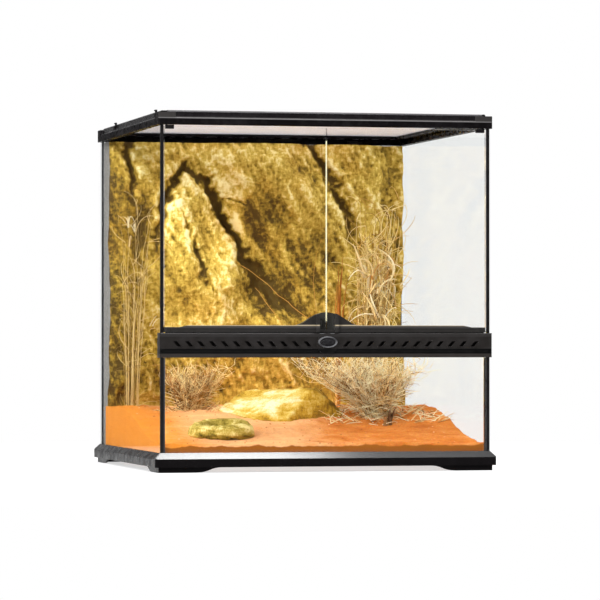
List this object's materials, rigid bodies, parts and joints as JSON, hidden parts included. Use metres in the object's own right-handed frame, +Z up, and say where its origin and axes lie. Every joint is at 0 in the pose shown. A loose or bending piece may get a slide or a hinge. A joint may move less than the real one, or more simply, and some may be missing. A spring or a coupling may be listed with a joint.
{
  "type": "terrarium cabinet",
  "caption": "Front-opening glass terrarium on a raised black base, with paired doors over a vent strip with a lock, a lift-off screen lid, rock panel, sand, stones and dry grass.",
  "frame": {"origin": "middle of the cabinet's footprint, on the surface it stands on", "axes": "+Z up, -Y towards the doors, +X to the right of someone facing them"},
  "size_m": [0.466, 0.466, 0.4794],
  "materials": {
    "black_plastic": "satin moulded black",
    "glass": "clear float glass, faint green",
    "silicone": "black silicone",
    "zinc_steel": "zinc-plated",
    "screen_wire": "fine woven screen",
    "rock_foam": "painted rock-look foam",
    "sand": "loose orange sand",
    "stone": "rough stone",
    "dry_grass": "dry straw"
  },
  "bodies": {
    "cabinet": {"base_frame": "black_plastic", "corner_trim_left": "black_plastic", "corner_trim_right": "black_plastic", "vent_strip": "black_plastic", "lock_cover": "black_plastic", "top_frame": "black_plastic", "left_glass": "glass", "right_glass": "glass", "back_glass": "glass", "lower_front_glass": "glass", "floor_glass": "glass", "front_seal_left": "silicone", "front_seal_right": "silicone", "rear_seal_left": "silicone", "rear_seal_right": "silicone", "rock_wall": "rock_foam", "sand_bed": "sand", "slab_stone": "stone", "dish_stone": "stone", "scrub_left": "dry_grass", "scrub_right": "dry_grass", "reeds_left": "dry_grass", "reeds_right": "dry_grass"},
    "left_door": {"left_door_glass": "glass", "left_door_rail": "black_plastic", "left_hinge_cap": "black_plastic"},
    "right_door": {"right_door_glass": "glass", "right_door_rail": "black_plastic", "right_hinge_cap": "black_plastic"},
    "lock": {"lock_knob": "black_plastic", "lock_retainer": "zinc_steel"},
    "bolt": {"lock_bolt": "zinc_steel"},
    "lid": {"lid_frame": "black_plastic", "lid_mesh": "screen_wire"},
    "clip_left_front": {"lid_clip_left_front": "black_plastic"},
    "clip_left_rear": {"lid_clip_left_rear": "black_plastic"},
    "clip_right_front": {"lid_clip_right_front": "black_plastic"},
    "clip_right_rear": {"lid_clip_right_rear": "black_plastic"},
    "shutter_left": {"cable_shutter_left": "black_plastic"},
    "shutter_right": {"cable_shutter_right": "black_plastic"}
  },
  "joints": [
    {"name": "left_door_hinge", "type": "hinge", "parent": "cabinet", "child": "left_door", "pos_m": [-0.2163, -0.2225, 0.32], "axis": [0, 0, -1], "range_deg": [0, 100]},
    {"name": "right_door_hinge", "type": "hinge", "parent": "cabinet", "child": "right_door", "pos_m": [0.2163, -0.2225, 0.32], "axis": [0, 0, 1], "range_deg": [0, 100]},
    {"name": "lock_turn", "type": "hinge", "parent": "cabinet", "child": "lock", "pos_m": [0, -0.2305, 0.172], "axis": [0, 1, 0], "range_deg": [0, 90]},
    {"name": "bolt_slide", "type": "slide", "parent": "cabinet", "child": "bolt", "axis": [0, 0, 1], "range_m": [0, 0.004]},
    {"name": "lid_lift", "type": "slide", "parent": "cabinet", "child": "lid", "axis": [0, 0, 1], "range_m": [0, 0.06]},
    {"name": "clip_left_front_turn", "type": "hinge", "parent": "cabinet", "child": "clip_left_front", "pos_m": [-0.2251, -0.196, 0.4771], "axis": [0, 0, -1], "range_deg": [0, 90]},
    {"name": "clip_left_rear_turn", "type": "hinge", "parent": "cabinet", "child": "clip_left_rear", "pos_m": [-0.2251, 0.1, 0.4771], "axis": [0, 0, -1], "range_deg": [0, 90]},
    {"name": "clip_right_front_turn", "type": "hinge", "parent": "cabinet", "child": "clip_right_front", "pos_m": [0.2251, -0.196, 0.4771], "axis": [0, 0, 1], "range_deg": [0, 90]},
    {"name": "clip_right_rear_turn", "type": "hinge", "parent": "cabinet", "child": "clip_right_rear", "pos_m": [0.2251, 0.1, 0.4771], "axis": [0, 0, 1], "range_deg": [0, 90]},
    {"name": "shutter_left_slide", "type": "slide", "parent": "cabinet", "child": "shutter_left", "axis": [1, 0, 0], "range_m": [0, 0.018]},
    {"name": "shutter_right_slide", "type": "slide", "parent": "cabinet", "child": "shutter_right", "axis": [-1, 0, 0], "range_m": [0, 0.018]}
  ],
  "couplings": [
    {"joint": "lock_turn", "follows": "bolt_slide", "rad_per_m": 392.69}
  ]
}
